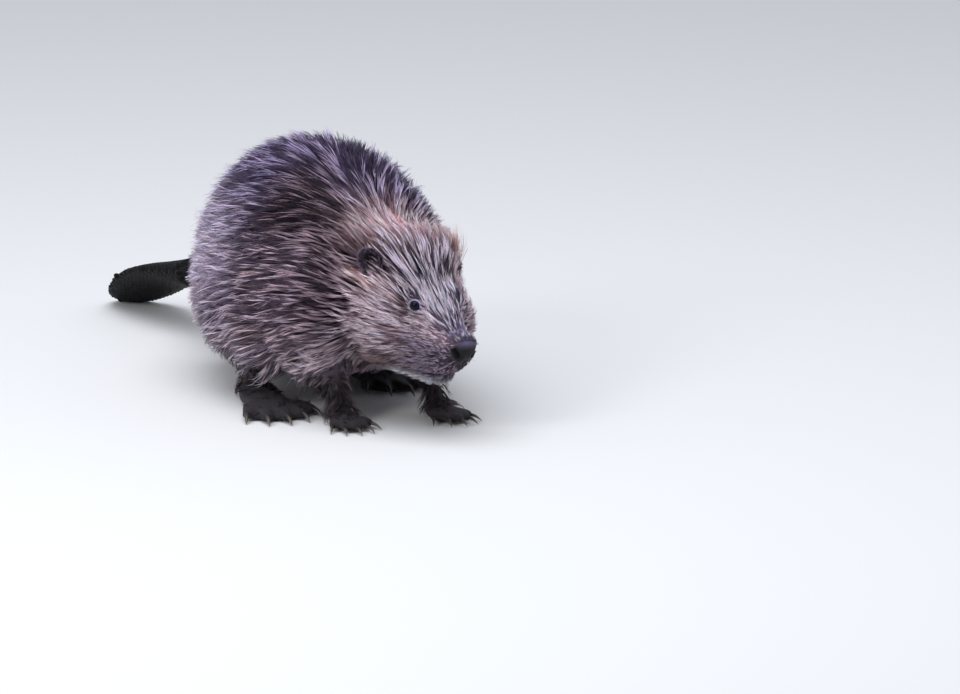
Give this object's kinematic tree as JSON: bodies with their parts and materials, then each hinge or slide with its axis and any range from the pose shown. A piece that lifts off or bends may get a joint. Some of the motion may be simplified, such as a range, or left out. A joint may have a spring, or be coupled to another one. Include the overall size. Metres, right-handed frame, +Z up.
{
  "type": "beaver",
  "caption": "Life-size still model of a young Eurasian beaver standing hunched with its head low, its flat scaly tail laid back on the floor.",
  "frame": {"origin": "middle of the bounding box at floor level, under the belly", "axes": "+X from the tail to the nose, +Y to the animal's left, +Z up"},
  "size_m": [0.7822, 0.2656, 0.2576],
  "materials": {
    "brown_fur": "dense dark brown coat with paler guard hairs",
    "tan_fur": "tan and silvery coat of the head, combed back",
    "dark_ear": "dark skin with short fuzz",
    "nose_leather": "moist fine-grained bare skin",
    "foot_skin": "dark scaly skin with sparse short hair",
    "scaly_hide": "black scales with a soft sheen",
    "claw_horn": "smooth dark horn",
    "eye": "wet and glossy, nearly black"
  },
  "bodies": {
    "root": {"head": "tan_fur", "left_ear": "dark_ear", "left_eye": "eye", "left_fore_claw_1": "claw_horn", "left_fore_claw_2": "claw_horn", "left_fore_claw_3": "claw_horn", "left_fore_claw_4": "claw_horn", "left_fore_claw_5": "claw_horn", "left_fore_foot": "foot_skin", "left_fore_leg": "brown_fur", "left_hind_claw_1": "claw_horn", "left_hind_claw_2": "claw_horn", "left_hind_claw_3": "claw_horn", "left_hind_claw_4": "claw_horn", "left_hind_claw_5": "claw_horn", "left_hind_foot": "foot_skin", "left_hind_leg": "brown_fur", "neck": "brown_fur", "nose": "nose_leather", "right_ear": "dark_ear", "right_eye": "eye", "right_fore_claw_1": "claw_horn", "right_fore_claw_2": "claw_horn", "right_fore_claw_3": "claw_horn", "right_fore_claw_4": "claw_horn", "right_fore_claw_5": "claw_horn", "right_fore_foot": "foot_skin", "right_fore_leg": "brown_fur", "right_hind_claw_1": "claw_horn", "right_hind_claw_2": "claw_horn", "right_hind_claw_3": "claw_horn", "right_hind_claw_4": "claw_horn", "right_hind_claw_5": "claw_horn", "right_hind_foot": "foot_skin", "right_hind_leg": "brown_fur", "tail_paddle": "scaly_hide", "tail_root": "brown_fur", "trunk": "brown_fur"}
  },
  "joints": []
}
